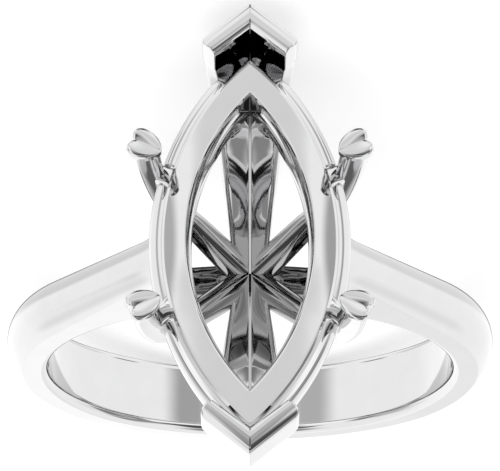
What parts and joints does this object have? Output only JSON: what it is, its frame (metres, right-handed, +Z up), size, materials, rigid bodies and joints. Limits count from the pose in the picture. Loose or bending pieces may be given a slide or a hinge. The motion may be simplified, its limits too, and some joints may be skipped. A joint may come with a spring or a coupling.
{
  "type": "empty marquise ring mounting",
  "caption": "Polished white-gold engagement ring mounting for a pointed oval stone, with V prongs, heart-shaped prongs and an open basket over a domed, tapering band; no stone is set.",
  "frame": {"origin": "middle of the footprint, on the surface that the ring lies on", "axes": "+Z up from the surface; the head points to -Y, the bottom of the band to +Y; X is across the ring"},
  "size_m": [0.0208, 0.0283, 0.0181],
  "materials": {
    "white_gold": "polished white gold"
  },
  "bodies": {
    "root": {"shank": "white_gold", "setting": "white_gold"}
  },
  "joints": []
}
